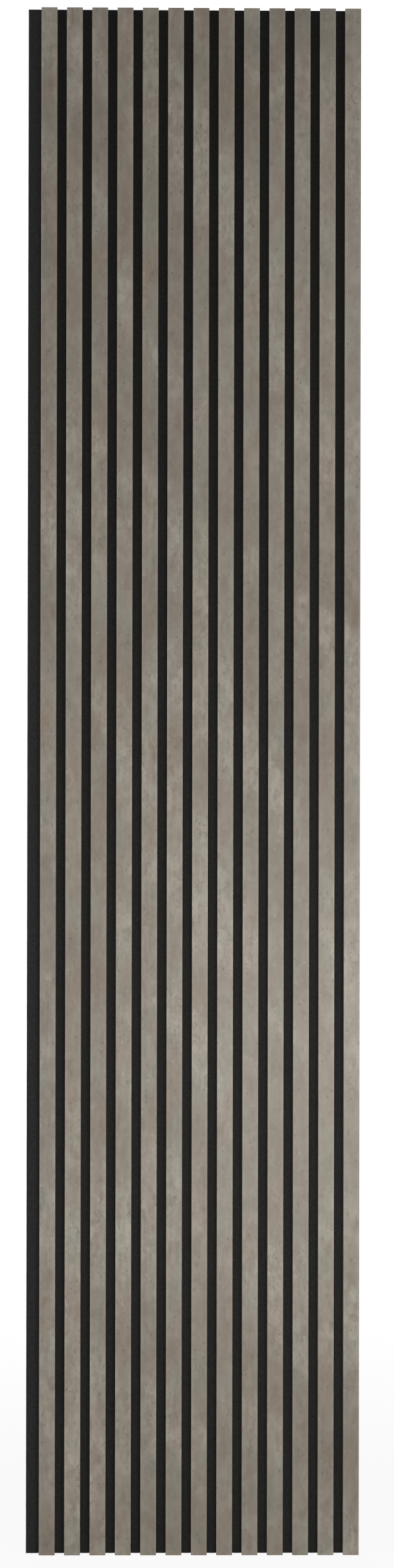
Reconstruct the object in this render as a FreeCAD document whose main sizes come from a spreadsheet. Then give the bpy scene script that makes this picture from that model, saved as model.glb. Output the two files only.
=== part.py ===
import FreeCAD, Part
import math
import os
import Sketcher

# Acoustic slat wall panel: long foil-wrapped bars stapled side by side to a sheet of black felt.
#
# Frame: the origin is the middle of the felt's back face, the face that lies on the wall.
# X runs across the panel, to the right for someone who looks at the slats.
# Y runs into the wall, so the felt and then the slats stand out towards -Y.
# Z runs up along the slats. All sizes are in millimetres.
#
# The row of slats is shifted to the right of the felt, so that the last slat overhangs it.
# The bare strip of felt at the left slides under the overhang of the next panel, which keeps
# the same gap between the slats across the joint and hides where the two felts meet.

DRIVING_SIZES = (
    ("panel_length", 2440.0, "length of the felt and of every slat"),
    ("slat_count", 13, "slats side by side"),
    ("slat_width", 25.0, "width of a slat's face"),
    ("slat_thickness", 12.0, "how far a slat stands out from the felt"),
    ("slat_edge_radius", 0.8, "rounding of a slat's two long front edges"),
    ("gap_width", 15.0, "open groove between two slats"),
    ("slat_overhang", 6.0, "how far the last slat reaches past the felt's right edge"),
    ("felt_thickness", 9.0, "thickness of the felt"),
    ("staple_rows", 8, "staples in each slat"),
    ("staple_end_margin", 60.0, "from the panel's end to the first row of staples"),
    ("staple_crown_width", 12.8, "outside width of a staple"),
    ("staple_wire_width", 0.95, "staple wire, along the panel"),
    ("staple_wire_thickness", 0.65, "staple wire, through its crown"),
    ("staple_sink", 0.4, "how deep a crown is pressed into the felt's back"),
    ("staple_bite", 5.4, "how deep a leg's tip goes into its slat"),
    ("staple_point", 1.0, "length of the slanted cut at a leg's tip"),
)

# Lengths that follow from the driving sizes, as the document's expressions.
PITCH = "(sizes.slat_width + sizes.gap_width)"
FELT_WIDTH = f"(sizes.slat_count * {PITCH})"
FIRST_SLAT_X = f"(sizes.gap_width + sizes.slat_overhang + sizes.slat_width / 2 - {FELT_WIDTH} / 2)"
ROW_SPACING = "((sizes.panel_length - 2 * sizes.staple_end_margin) / (sizes.staple_rows - 1))"
FIRST_ROW_Z = "(sizes.staple_end_margin - sizes.panel_length / 2)"
# A staple sits in the middle of the stretch of slat that felt backs on every slat, the last one too.
STAPLE_SHIFT = "(-sizes.slat_overhang / 2)"
FIRST_STAPLE_X = f"({FIRST_SLAT_X} + {STAPLE_SHIFT})"

# The staple's outline, as depths below the felt's back face and distances from its own middle.
HALF_CROWN = "(sizes.staple_crown_width / 2)"
HALF_INSIDE = "(sizes.staple_crown_width / 2 - sizes.staple_wire_thickness)"
CROWN_BACK = "sizes.staple_sink"
CROWN_FRONT = "(sizes.staple_sink + sizes.staple_wire_thickness)"
TIP = "(sizes.felt_thickness + sizes.staple_bite)"
TIP_INSIDE = "(sizes.felt_thickness + sizes.staple_bite - sizes.staple_point)"

VOLUME_TOLERANCE = 1e-6
LENGTH_TOLERANCE = 1e-4


def make_sizes_sheet(document):
    """Writes the driving sizes into a sheet, one row each: name, value, meaning."""
    sheet = document.addObject("Spreadsheet::Sheet", "sizes")
    for row, (name, value, meaning) in enumerate(DRIVING_SIZES, start=1):
        sheet.set(f"A{row}", name)
        sheet.set(f"B{row}", str(value))
        sheet.set(f"C{row}", meaning)
        sheet.setAlias(f"B{row}", name)
    document.recompute()
    return sheet


def make_body(document, name):
    """Starts a piece: its name is also its label, which names its file."""
    body = document.addObject("PartDesign::Body", name)
    body.Label = name
    return body


def origin_feature(body, role):
    """Finds one of a body's own origin planes or axes."""
    for feature in body.Origin.OriginFeatures:
        if feature.Role == role:
            return feature
    raise ValueError(f"{body.Label} has no {role}")


def add_cross_section(body, name, outlines, shift_z=None):
    """Adds a sketch square to the panel's length, with closed outlines of straight lines.

    Each corner is a pair of expressions, for its X and its Y, that hold it where it is.
    """
    sketch = body.newObject("Sketcher::SketchObject", name)
    sketch.AttachmentSupport = (origin_feature(body, "XY_Plane"), "")
    sketch.MapMode = "FlatFace"
    if shift_z is not None:
        sketch.setExpression("AttachmentOffset.Base.z", shift_z)
    for corners in outlines:
        add_outline(sketch, corners)
    return sketch


def add_outline(sketch, corners):
    """Draws one closed outline and binds each of its corners to the sizes."""
    sheet = sketch.Document.sizes
    places = [FreeCAD.Vector(sheet.evalExpression(x), sheet.evalExpression(y), 0) for x, y in corners]
    first = sketch.GeometryCount
    for start, end in zip(places, places[1:] + places[:1]):
        sketch.addGeometry(Part.LineSegment(start, end), False)
    for index, (place, (x, y)) in enumerate(zip(places, corners)):
        line = first + index
        next_line = first + (index + 1) % len(corners)
        sketch.addConstraint(Sketcher.Constraint("Coincident", line, 2, next_line, 1))
        for kind, value, expression in (("DistanceX", place.x, x), ("DistanceY", place.y, y)):
            constraint = sketch.addConstraint(Sketcher.Constraint(kind, -1, 1, line, 1, value))
            sketch.setExpression(f"Constraints[{constraint}]", expression)


def rectangle(left, right, low, high):
    """Gives the corners of a rectangle."""
    return [(left, low), (right, low), (right, high), (left, high)]


def add_along_length(body, kind, sketch, length):
    """Pads or pockets a sketch by the same amount up and down the panel."""
    feature = body.newObject(f"PartDesign::{kind}", f"{sketch.Name}_{kind.lower()}")
    feature.Profile = sketch
    feature.SideType = "Symmetric"
    feature.setExpression("Length", length)
    body.Tip = feature
    return feature


def repeat(body, feature, steps):
    """Repeats a feature along one or more of the body's axes.

    Each step is (axis role, spacing expression, count expression).
    """
    pattern = body.newObject("PartDesign::MultiTransform", f"{feature.Name}_repeated")
    pattern.Originals = [feature]
    transformations = []
    for role, spacing, count in steps:
        step = body.newObject("PartDesign::LinearPattern", f"{feature.Name}_along_{role[0].lower()}")
        step.Direction = (origin_feature(body, role), [""])
        step.Mode = "Spacing"
        step.setExpression("Offset", spacing)
        step.setExpression("Occurrences", count)
        transformations.append(step)
    pattern.Transformations = transformations
    body.Tip = pattern
    return pattern


def front_long_edges(shape, depth):
    """Names the long edges on the face that lies the given depth in front of the felt."""
    names = []
    for number, edge in enumerate(shape.Edges, start=1):
        start, end = (vertex.Point for vertex in edge.Vertexes)
        lies_in_front = all(abs(point.y + depth) < LENGTH_TOLERANCE for point in (start, end))
        runs_along_z = abs(start.x - end.x) < LENGTH_TOLERANCE
        if lies_in_front and runs_along_z:
            names.append(f"Edge{number}")
    return names


def leg_in_slat(side):
    """Gives the outline of one staple leg inside a slat, measured from the slat's middle and back."""
    outer = f"({STAPLE_SHIFT} {side} {HALF_CROWN})"
    inner = f"({STAPLE_SHIFT} {side} {HALF_INSIDE})"
    return [
        (outer, "0"),
        (outer, "-sizes.staple_bite"),
        (inner, "(sizes.staple_point - sizes.staple_bite)"),
        (inner, "0"),
    ]


def staple_path(back, tip, tip_inside):
    """Gives the outline of a staple, or of the cut that it makes, as seen along the panel."""
    return [
        (f"-{HALF_CROWN}", f"-{back}"),
        (HALF_CROWN, f"-{back}"),
        (HALF_CROWN, f"-{tip}"),
        (HALF_INSIDE, f"-{tip_inside}"),
        (HALF_INSIDE, f"-{CROWN_FRONT}"),
        (f"-{HALF_INSIDE}", f"-{CROWN_FRONT}"),
        (f"-{HALF_INSIDE}", f"-{tip_inside}"),
        (f"-{HALF_CROWN}", f"-{tip}"),
    ]


def make_slat(document, index):
    """Makes one slat: a bar with two rounded front edges and blind cuts for the staples' legs."""
    sizes = document.sizes
    body = make_body(document, f"slat_{index + 1:02d}")
    profile = rectangle("-sizes.slat_width / 2", "sizes.slat_width / 2", "-sizes.slat_thickness", "0")
    section = add_cross_section(body, f"{body.Name}_section", [profile])
    bar = add_along_length(body, "Pad", section, "sizes.panel_length")
    document.recompute()

    rounding = body.newObject("PartDesign::Fillet", f"{body.Name}_rounding")
    rounding.Base = (bar, front_long_edges(bar.Shape, sizes.slat_thickness))
    rounding.setExpression("Radius", "sizes.slat_edge_radius")
    body.Tip = rounding

    legs = [leg_in_slat("-"), leg_in_slat("+")]
    cut_section = add_cross_section(body, f"{body.Name}_legs", legs, FIRST_ROW_Z)
    cut = add_along_length(body, "Pocket", cut_section, "sizes.staple_wire_width")
    repeat(body, cut, [("Z_Axis", ROW_SPACING, "sizes.staple_rows")])

    body.setExpression("Placement.Base.x", f"{FIRST_SLAT_X} + {index} * {PITCH}")
    body.setExpression("Placement.Base.y", "-sizes.felt_thickness")
    return body


def make_felt(document):
    """Makes the felt sheet, with a groove and two holes where each staple goes through it."""
    body = make_body(document, "felt_backing")
    profile = rectangle(f"-{FELT_WIDTH} / 2", f"{FELT_WIDTH} / 2", "-sizes.felt_thickness", "0")
    section = add_cross_section(body, "felt_section", [profile])
    add_along_length(body, "Pad", section, "sizes.panel_length")

    front = "sizes.felt_thickness"
    path = [(f"{FIRST_STAPLE_X} + ({x})", y) for x, y in staple_path("0", front, front)]
    cut_section = add_cross_section(body, "felt_staple_cut", [path], FIRST_ROW_Z)
    cut = add_along_length(body, "Pocket", cut_section, "sizes.staple_wire_width")
    repeat(body, cut, staple_grid())
    return body


def make_staples(document):
    """Makes the staples, each a separate solid, from the first one at the bottom left."""
    body = make_body(document, "staples")
    body.AllowCompound = True
    path = staple_path(CROWN_BACK, TIP, TIP_INSIDE)
    section = add_cross_section(body, "staple_section", [path], FIRST_ROW_Z)
    staple = add_along_length(body, "Pad", section, "sizes.staple_wire_width")
    repeat(body, staple, staple_grid())
    body.setExpression("Placement.Base.x", FIRST_STAPLE_X)
    return body


def staple_grid():
    """Gives the steps from the first staple to all the others."""
    across = ("X_Axis", PITCH, "sizes.slat_count")
    along = ("Z_Axis", ROW_SPACING, "sizes.staple_rows")
    return [across, along]


def expected_volumes(sizes):
    """Works out the volume that a slat, the felt and all the staples should have."""
    felt_width = sizes.slat_count * (sizes.slat_width + sizes.gap_width)
    wire = sizes.staple_wire_thickness * sizes.staple_wire_width
    crown_front = sizes.staple_sink + sizes.staple_wire_thickness
    staple_count = sizes.slat_count * sizes.staple_rows

    corner_loss = 2 * (1 - math.pi / 4) * sizes.slat_edge_radius**2
    legs_in_slat = 2 * wire * (sizes.staple_bite - sizes.staple_point / 2)
    slat_section = sizes.slat_width * sizes.slat_thickness - corner_loss
    slat = slat_section * sizes.panel_length - sizes.staple_rows * legs_in_slat

    groove = sizes.staple_crown_width * crown_front * sizes.staple_wire_width
    legs_in_felt = 2 * wire * (sizes.felt_thickness - crown_front)
    sheet = felt_width * sizes.felt_thickness * sizes.panel_length
    felt = sheet - staple_count * (groove + legs_in_felt)

    crown = sizes.staple_crown_width * wire
    staples = staple_count * (crown + legs_in_felt + legs_in_slat)
    return {"slat": slat, "felt_backing": felt, "staples": staples}


def check_pieces(document, pieces):
    """Stops if a feature failed, a shape is unsound or a cut went astray."""
    for item in document.Objects:
        if "Invalid" in item.State or "Error" in item.State:
            raise RuntimeError(f"{item.Name} failed: {item.State}")
    expected = expected_volumes(document.sizes)
    for piece in pieces:
        shape = piece.Shape
        if shape.isNull() or not shape.isValid():
            raise RuntimeError(f"{piece.Label} has no sound shape")
        volume = expected.get(piece.Label, expected["slat"])
        if abs(shape.Volume - volume) > VOLUME_TOLERANCE * volume:
            raise RuntimeError(f"{piece.Label} holds {shape.Volume} mm3, not {volume}")


def main():
    """Makes every piece, checks them all and writes each to a file of its own."""
    document = FreeCAD.newDocument("acoustic_slat_wall_panel")
    sizes = make_sizes_sheet(document)
    pieces = [make_felt(document)]
    pieces += [make_slat(document, index) for index in range(int(sizes.slat_count))]
    pieces.append(make_staples(document))
    document.recompute()
    check_pieces(document, pieces)

    os.makedirs("parts", exist_ok=True)
    for piece in pieces:
        piece.Shape.exportStep(f"parts/{piece.Label}.step")
        print(f"{piece.Label}: {len(piece.Shape.Solids)} solid(s), {piece.Shape.Volume:.1f} mm3")


main()
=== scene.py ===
"""Looks of an acoustic slat wall panel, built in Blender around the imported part.

Thirteen bars wrapped in a concrete-look foil stand on a sheet of black felt, and wire staples
driven through the felt from behind hold them. All lengths are metres, in the part's own frame:
X to the right, Z up, and the faces of the slats look along -Y.
"""

import logging
import math
from dataclasses import dataclass, field
from enum import Enum

import bpy
import numpy as np
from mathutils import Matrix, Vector, noise

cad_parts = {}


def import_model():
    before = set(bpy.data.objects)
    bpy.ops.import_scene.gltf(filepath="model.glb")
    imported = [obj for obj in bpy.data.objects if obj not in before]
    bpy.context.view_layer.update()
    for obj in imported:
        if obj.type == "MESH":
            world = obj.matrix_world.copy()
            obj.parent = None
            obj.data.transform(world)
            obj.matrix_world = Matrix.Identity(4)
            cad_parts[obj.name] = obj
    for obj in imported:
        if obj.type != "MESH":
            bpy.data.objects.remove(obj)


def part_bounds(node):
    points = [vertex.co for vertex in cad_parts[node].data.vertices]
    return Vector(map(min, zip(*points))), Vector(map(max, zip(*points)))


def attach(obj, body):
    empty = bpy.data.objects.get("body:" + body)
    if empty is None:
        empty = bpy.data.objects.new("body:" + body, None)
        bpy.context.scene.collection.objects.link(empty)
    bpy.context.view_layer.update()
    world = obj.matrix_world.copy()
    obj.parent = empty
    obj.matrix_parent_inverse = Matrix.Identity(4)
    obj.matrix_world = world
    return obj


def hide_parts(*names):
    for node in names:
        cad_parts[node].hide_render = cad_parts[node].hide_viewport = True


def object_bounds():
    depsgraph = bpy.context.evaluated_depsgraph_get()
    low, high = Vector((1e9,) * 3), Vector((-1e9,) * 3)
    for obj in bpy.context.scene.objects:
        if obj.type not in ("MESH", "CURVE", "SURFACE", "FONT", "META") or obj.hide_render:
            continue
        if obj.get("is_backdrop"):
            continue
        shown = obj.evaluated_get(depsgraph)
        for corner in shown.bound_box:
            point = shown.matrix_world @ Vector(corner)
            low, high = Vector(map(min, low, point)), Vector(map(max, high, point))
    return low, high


MM = 0.001
BAKE_MAP = "OFBake"
MIX_COLOUR_A = 6
MIX_COLOUR_B = 7
MIX_COLOUR_RESULT = 2

log = logging.getLogger("slat panel")


class Slot(Enum):
    """The record's material slots. Nothing in this script gives a piece one of them."""

    DECOR = "slat_decor"
    FELT = "felt"
    WIRE = "staple_wire"


def linear(hex_colour: str) -> tuple[float, float, float, float]:
    """Turns an sRGB colour into the linear one that a shader works with.

    Args:
        hex_colour: the colour as "#RRGGBB".

    Returns:
        Linear red, green and blue from 0 to 1, and an alpha of 1.
    """
    channels = [int(hex_colour[i : i + 2], 16) / 255 for i in (1, 3, 5)]
    red, green, blue = (c / 12.92 if c <= 0.04045 else ((c + 0.055) / 1.055) ** 2.4 for c in channels)
    return red, green, blue, 1.0


def add_node(tree: bpy.types.NodeTree, kind: str, inputs: dict | None = None, **settings) -> bpy.types.Node:
    """Adds one node with its settings, its fixed values and its links.

    Args:
        tree: the shader or geometry tree that takes the node.
        kind: Blender's name of the node type.
        inputs: what goes into each socket, by name or number: a value, another node's output,
            or a node, whose first output is taken.
        settings: the node's own properties.

    Returns:
        The new node.
    """
    node = tree.nodes.new(kind)
    for name, value in settings.items():
        setattr(node, name, value)
    for key, value in (inputs or {}).items():
        if isinstance(value, bpy.types.Node):
            value = value.outputs[0]
        if isinstance(value, bpy.types.NodeSocket):
            tree.links.new(value, node.inputs[key])
        else:
            node.inputs[key].default_value = value
    return node


def new_material(name: str) -> tuple[bpy.types.Material, bpy.types.NodeTree]:
    """Makes an empty node material.

    Args:
        name: the finish's name.

    Returns:
        The material and its tree, with no node in it.
    """
    material = bpy.data.materials.new(name)
    material.use_nodes = True
    material.node_tree.nodes.clear()
    return material, material.node_tree


def new_shape_tree(name: str, sizes: dict[str, str]) -> tuple[bpy.types.NodeTree, bpy.types.NodeOutputs]:
    """Starts a Geometry Nodes tree with named inputs and one geometry output.

    Args:
        name: the tree's name.
        sizes: the kind of each input by its name, such as "Float" or "Material".

    Returns:
        The tree, and the sockets that give its inputs' values.
    """
    tree = bpy.data.node_groups.new(name, "GeometryNodeTree")
    for label, kind in sizes.items():
        tree.interface.new_socket(label, in_out="INPUT", socket_type=f"NodeSocket{kind}")
    tree.interface.new_socket("Geometry", in_out="OUTPUT", socket_type="NodeSocketGeometry")
    return tree, tree.nodes.new("NodeGroupInput").outputs


def grow(name: str, tree: bpy.types.NodeTree, values: dict, source: bpy.types.Mesh | None = None) -> bpy.types.Object:
    """Runs a Geometry Nodes tree once and keeps its result as a plain mesh.

    Args:
        name: the new piece's name.
        tree: the tree that makes the shape.
        values: the value of each of the tree's inputs, by name.
        source: the mesh that goes into the tree, where it takes one.

    Returns:
        The piece, at the origin and with no modifier left on it.
    """
    maker = bpy.data.objects.new(f"{name}_maker", source or bpy.data.meshes.new(f"{name}_maker"))
    bpy.context.scene.collection.objects.link(maker)
    modifier = maker.modifiers.new("shape", "NODES")
    modifier.node_group = tree
    for item in tree.interface.items_tree:
        if item.in_out == "INPUT" and item.name in values:
            modifier[item.identifier] = values[item.name]
    depsgraph = bpy.context.evaluated_depsgraph_get()
    mesh = bpy.data.meshes.new_from_object(
        maker.evaluated_get(depsgraph), preserve_all_data_layers=True, depsgraph=depsgraph
    )
    maker.modifiers.remove(modifier)
    bpy.data.objects.remove(maker)
    mesh.name = name
    for index in reversed(range(len(mesh.materials))):
        if mesh.materials[index] is None:
            mesh.materials.pop(index=index)
    piece = bpy.data.objects.new(name, mesh)
    bpy.context.scene.collection.objects.link(piece)
    return piece


def fit_to_part(piece: bpy.types.Object, node: str | None = None) -> None:
    """Hands a finished piece to the part and reports it.

    Args:
        piece: the piece, with its place in its mesh.
        node: the CAD node that it stands for, if it stands for one.
    """
    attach(piece, "root")
    if node:
        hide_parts(node)
    log.info("%s: %d faces, stands for %s", piece.name, len(piece.data.polygons), node or "nothing")


@dataclass(frozen=True)
class ConcreteDecorFoil:
    """Printed decor foil with a matt pressed surface, glued round each bar.

    The print is a photograph-like picture of cast concrete. It gives the eye pale and dark pours
    that lean across several slats, flat plates of slightly different greys inside them, soft
    mottling, and ragged air holes that gather where the cement is pale, under an even, low gloss.
    Feature sizes are metres on the panel, across and along a slat.
    """

    dark_cement: str = "#7B6A5A"
    pale_cement: str = "#B2A69B"
    lime_grey: str = "#868378"
    air_hole: str = "#453F38"
    pour: tuple[float, float] = (0.115, 0.250)
    pour_lean_degrees: float = -29.0
    plate: tuple[float, float] = (0.0140, 0.0240)
    chip: tuple[float, float] = (0.0065, 0.0110)
    mottle: tuple[float, float] = (0.0105, 0.0165)
    trowel_mark: tuple[float, float] = (0.0065, 0.0450)
    sand: tuple[float, float] = (0.0017, 0.0017)
    lime_drift: tuple[float, float] = (0.040, 0.120)
    stain: tuple[float, float] = (0.0042, 0.0075)
    hole_cell: tuple[float, float] = (0.0075, 0.0085)
    dash_cell: tuple[float, float] = (0.0065, 0.0110)
    fleck_cell: tuple[float, float] = (0.0080, 0.0100)
    strip_shift: float = 30.0 * MM
    # period and height of the painted light bands, and half the panel's width
    light_band_period: float = 1.22
    lit_band_height: float = 0.80
    half_sheet: float = 0.26
    roughness: tuple[float, float] = (0.50, 0.62)

    def material(self) -> bpy.types.Material:
        """Builds the foil's material. Each bar's strip of foil sits a little higher or lower."""
        material, tree = new_material("printed concrete-look decor foil")
        own_tone = add_node(tree, "ShaderNodeAttribute", attribute_name="slat_tone").outputs["Fac"]
        shift = add_node(tree, "ShaderNodeMath", {0: own_tone, 1: self.strip_shift}, operation="MULTIPLY")
        shift = add_node(tree, "ShaderNodeCombineXYZ", {"Z": shift})
        place = add_node(tree, "ShaderNodeTexCoord").outputs["Object"]
        place = add_node(tree, "ShaderNodeVectorMath", {0: place, 1: shift}, operation="ADD").outputs[0]
        pour = self.layer(tree, place, self.pour, self.pour_lean_degrees, 2.0, bend=0.6, seed=0.31)
        pale = add_node(
            tree,
            "ShaderNodeMapRange",
            {"Value": pour, "From Min": 0.42, "From Max": 0.66},
            interpolation_type="SMOOTHSTEP",
        )
        plates = self.plates(tree, place, self.plate, 9.0 * MM, seed=1.3)
        chips = self.plates(tree, place, self.chip, 4.0 * MM, seed=2.9)
        mottle = self.layer(tree, place, self.mottle, -8.0, 3.0, bend=0.5, seed=1.73)
        trowel = self.layer(tree, place, self.trowel_mark, 2.0, 1.0, seed=3.17)
        sand = self.layer(tree, place, self.sand, 0.0, 1.0, seed=4.09)
        pattern = self.weighed(tree, [(plates, 0.18), (chips, 0.17), (mottle, 0.32), (trowel, 0.30)], 0.0)
        strength = add_node(tree, "ShaderNodeMath", {0: pale, 1: 0.75, 2: 0.70}, operation="MULTIPLY_ADD")
        pattern = add_node(tree, "ShaderNodeMath", {0: pattern, 1: strength}, operation="MULTIPLY")
        ground = self.weighed(tree, [(pale, 0.18), (pour, 0.36), (sand, 0.11)], 0.410)
        tone = add_node(tree, "ShaderNodeMath", {0: ground, 1: pattern}, operation="ADD")
        tone = add_node(tree, "ShaderNodeMath", {0: own_tone, 1: 0.05, 2: tone}, operation="MULTIPLY_ADD")
        # painted light and shade: the print is paler towards the right and in bands along the height
        tone = add_node(tree, "ShaderNodeMath", {0: tone, 1: self.painted_light_bands(tree, place)}, operation="ADD")
        edge_highlight = add_node(tree, "ShaderNodeAttribute", attribute_name="painted_edge_highlight").outputs["Fac"]
        # painted highlight: the print is made paler along the bars' two front edges
        tone = add_node(tree, "ShaderNodeMath", {0: edge_highlight, 1: 0.15, 2: tone}, operation="MULTIPLY_ADD")
        flecks = self.spots(tree, place, self.fleck_cell, (0.06, 0.30), 0.84, seed=6.3)
        tone = add_node(
            tree, "ShaderNodeMath", {0: flecks, 1: 0.30, 2: tone}, operation="MULTIPLY_ADD", use_clamp=True
        )
        cement = add_node(
            tree,
            "ShaderNodeMix",
            {0: tone, MIX_COLOUR_A: linear(self.dark_cement), MIX_COLOUR_B: linear(self.pale_cement)},
            data_type="RGBA",
        ).outputs[MIX_COLOUR_RESULT]
        drift = self.layer(tree, place, self.lime_drift, 10.0, 2.0, seed=9.7)
        limed = add_node(tree, "ShaderNodeMapRange", {"Value": drift, "From Min": 0.22, "From Max": 0.78})
        cement = add_node(
            tree,
            "ShaderNodeMix",
            {0: limed, MIX_COLOUR_A: cement, MIX_COLOUR_B: linear(self.lime_grey)},
            data_type="RGBA",
            blend_type="COLOR",
        ).outputs[MIX_COLOUR_RESULT]
        marks = self.holes_and_dashes(tree, place, pale)
        printed = add_node(
            tree,
            "ShaderNodeMix",
            {0: marks, MIX_COLOUR_A: cement, MIX_COLOUR_B: linear(self.air_hole)},
            data_type="RGBA",
        ).outputs[MIX_COLOUR_RESULT]

        gloss = add_node(
            tree,
            "ShaderNodeMapRange",
            {"Value": mottle, "From Min": 0.3, "From Max": 0.7, "To Min": self.roughness[0], "To Max": self.roughness[1]},
        )
        height = self.weighed(tree, [(sand, 0.5), (chips, 0.3)], 0.5)
        height = add_node(tree, "ShaderNodeMath", {0: height, 1: marks}, operation="SUBTRACT")
        relief = add_node(tree, "ShaderNodeBump", {"Strength": 0.35, "Distance": 0.08 * MM, "Height": height})
        surface = add_node(
            tree,
            "ShaderNodeBsdfPrincipled",
            {"Base Color": printed, "Roughness": gloss, "IOR": 1.5, "Specular IOR Level": 0.4, "Normal": relief},
        )
        add_node(tree, "ShaderNodeOutputMaterial", {"Surface": surface})
        return material

    def layer(
        self,
        tree: bpy.types.NodeTree,
        place: bpy.types.NodeSocket,
        size: tuple[float, float],
        lean: float,
        detail: float,
        bend: float = 0.0,
        seed: float = 0.0,
    ) -> bpy.types.Node:
        """Adds one layer of soft variation.

        Args:
            tree: the material's tree.
            place: the point's place on the panel.
            size: the width and height of one feature, metres.
            lean: how far the features lean from upright, degrees.
            detail: how many finer octaves ride on them.
            bend: how far their outlines are pulled about.
            seed: shifts the layer, so that no two layers line up.

        Returns:
            The noise node, whose first output is the layer from 0 to 1.
        """
        turned = add_node(
            tree,
            "ShaderNodeMapping",
            {
                "Vector": place,
                "Location": (seed, seed, seed),
                "Rotation": (0.0, math.radians(lean), 0.0),
                "Scale": (size[0], size[0], size[1]),
            },
            vector_type="TEXTURE",
        )
        return add_node(
            tree, "ShaderNodeTexNoise", {"Vector": turned, "Scale": 1.0, "Detail": detail, "Distortion": bend}
        )

    def painted_light_bands(self, tree: bpy.types.NodeTree, place: bpy.types.NodeSocket) -> bpy.types.Node:
        """Adds painted light and shade: the print is made paler towards the panel's right, and paler and darker by
        turns along its height, most of all on the right, to stand in for how the light falls.

        Args:
            tree: the material's tree.
            place: the point's place on the panel.

        Returns:
            The node that gives how much paler the print is there, negative where it is darker.
        """
        axes = add_node(tree, "ShaderNodeSeparateXYZ", {0: place})
        side = add_node(tree, "ShaderNodeMath", {0: axes.outputs["X"], 1: self.half_sheet}, operation="DIVIDE")
        above = add_node(tree, "ShaderNodeMath", {0: axes.outputs["Z"], 1: self.lit_band_height}, operation="SUBTRACT")
        turned = add_node(
            tree, "ShaderNodeMath", {0: above, 1: 2 * math.pi / self.light_band_period}, operation="MULTIPLY"
        )
        wave = add_node(tree, "ShaderNodeMath", {0: turned}, operation="COSINE")
        strength = add_node(tree, "ShaderNodeMath", {0: side, 1: 0.10, 2: 0.07}, operation="MULTIPLY_ADD")
        paler = add_node(tree, "ShaderNodeMath", {0: wave, 1: strength}, operation="MULTIPLY")
        return add_node(tree, "ShaderNodeMath", {0: side, 1: 0.09, 2: paler}, operation="MULTIPLY_ADD")

    def pulled_about(
        self, tree: bpy.types.NodeTree, place: bpy.types.NodeSocket, reach: float
    ) -> bpy.types.NodeSocket:
        """Shifts places unevenly, so that what is drawn there gets ragged outlines.

        Args:
            tree: the material's tree.
            place: the point's place on the panel.
            reach: how far a point may move, metres.

        Returns:
            The shifted place.
        """
        noise = add_node(tree, "ShaderNodeTexNoise", {"Vector": place, "Scale": 1 / reach, "Detail": 3.0})
        shift = add_node(
            tree, "ShaderNodeVectorMath", {0: noise.outputs["Color"], 1: (reach,) * 3}, operation="MULTIPLY"
        )
        return add_node(tree, "ShaderNodeVectorMath", {0: place, 1: shift}, operation="ADD").outputs[0]

    def plates(
        self,
        tree: bpy.types.NodeTree,
        place: bpy.types.NodeSocket,
        size: tuple[float, float],
        reach: float,
        seed: float,
    ) -> bpy.types.NodeSocket:
        """Adds ragged plates, each of one grey, with soft borders.

        Args:
            tree: the material's tree.
            place: the point's place on the panel.
            size: the width and height of one plate, metres.
            reach: how far the borders wander, metres.
            seed: shifts the plates.

        Returns:
            The plates' greys, from 0 to 1.
        """
        squeezed = add_node(
            tree,
            "ShaderNodeMapping",
            {
                "Vector": self.pulled_about(tree, place, reach),
                "Location": (seed, seed, seed),
                "Scale": (size[0], size[0], size[1]),
            },
            vector_type="TEXTURE",
        )
        cells = add_node(
            tree,
            "ShaderNodeTexVoronoi",
            {"Vector": squeezed, "Scale": 1.0, "Smoothness": 0.25},
            feature="SMOOTH_F1",
        )
        return add_node(tree, "ShaderNodeSeparateColor", {"Color": cells.outputs["Color"]}).outputs["Red"]

    def weighed(
        self, tree: bpy.types.NodeTree, layers: list[tuple[bpy.types.Node, float]], middle: float
    ) -> bpy.types.Node:
        """Adds layers round a middle value, each by its own weight.

        Args:
            tree: the material's tree.
            layers: each layer and how strongly it counts.
            middle: the value where every layer is at its mean.

        Returns:
            The node that gives the sum.
        """
        total = middle - 0.5 * sum(weight for _, weight in layers)
        for layer, weight in layers:
            total = add_node(tree, "ShaderNodeMath", {0: layer, 1: weight, 2: total}, operation="MULTIPLY_ADD")
        return total

    def spots(
        self,
        tree: bpy.types.NodeTree,
        place: bpy.types.NodeSocket,
        cell: tuple[float, float],
        reach: tuple[float, float],
        rarity: float | bpy.types.Node,
        seed: float,
    ) -> bpy.types.Node:
        """Adds scattered spots, one at most in each cell of an uneven net.

        Args:
            tree: the material's tree.
            place: the point's place on the panel.
            cell: the width and height of a cell, metres.
            reach: where a spot starts to fade and where it ends, in cells.
            rarity: the share of cells that stay empty.
            seed: shifts the net.

        Returns:
            The node that gives 1 in a strong spot and 0 outside.
        """
        squeezed = add_node(
            tree,
            "ShaderNodeMapping",
            {"Vector": place, "Location": (seed, seed, seed), "Scale": (cell[0], cell[0], cell[1])},
            vector_type="TEXTURE",
        )
        cells = add_node(tree, "ShaderNodeTexVoronoi", {"Vector": squeezed, "Scale": 1.0})
        dot = add_node(
            tree,
            "ShaderNodeMapRange",
            {
                "Value": cells.outputs["Distance"],
                "From Min": reach[0],
                "From Max": reach[1],
                "To Min": 1.0,
                "To Max": 0.0,
            },
            interpolation_type="SMOOTHSTEP",
        )
        lot = add_node(tree, "ShaderNodeSeparateColor", {"Color": cells.outputs["Color"]})
        chosen = add_node(tree, "ShaderNodeMath", {0: lot.outputs["Red"], 1: rarity}, operation="GREATER_THAN")
        depth = add_node(tree, "ShaderNodeMath", {0: lot.outputs["Green"], 1: 0.8, 2: 0.2}, operation="MULTIPLY_ADD")
        there = add_node(tree, "ShaderNodeMath", {0: chosen, 1: depth}, operation="MULTIPLY")
        return add_node(tree, "ShaderNodeMath", {0: dot, 1: there}, operation="MULTIPLY")

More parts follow.
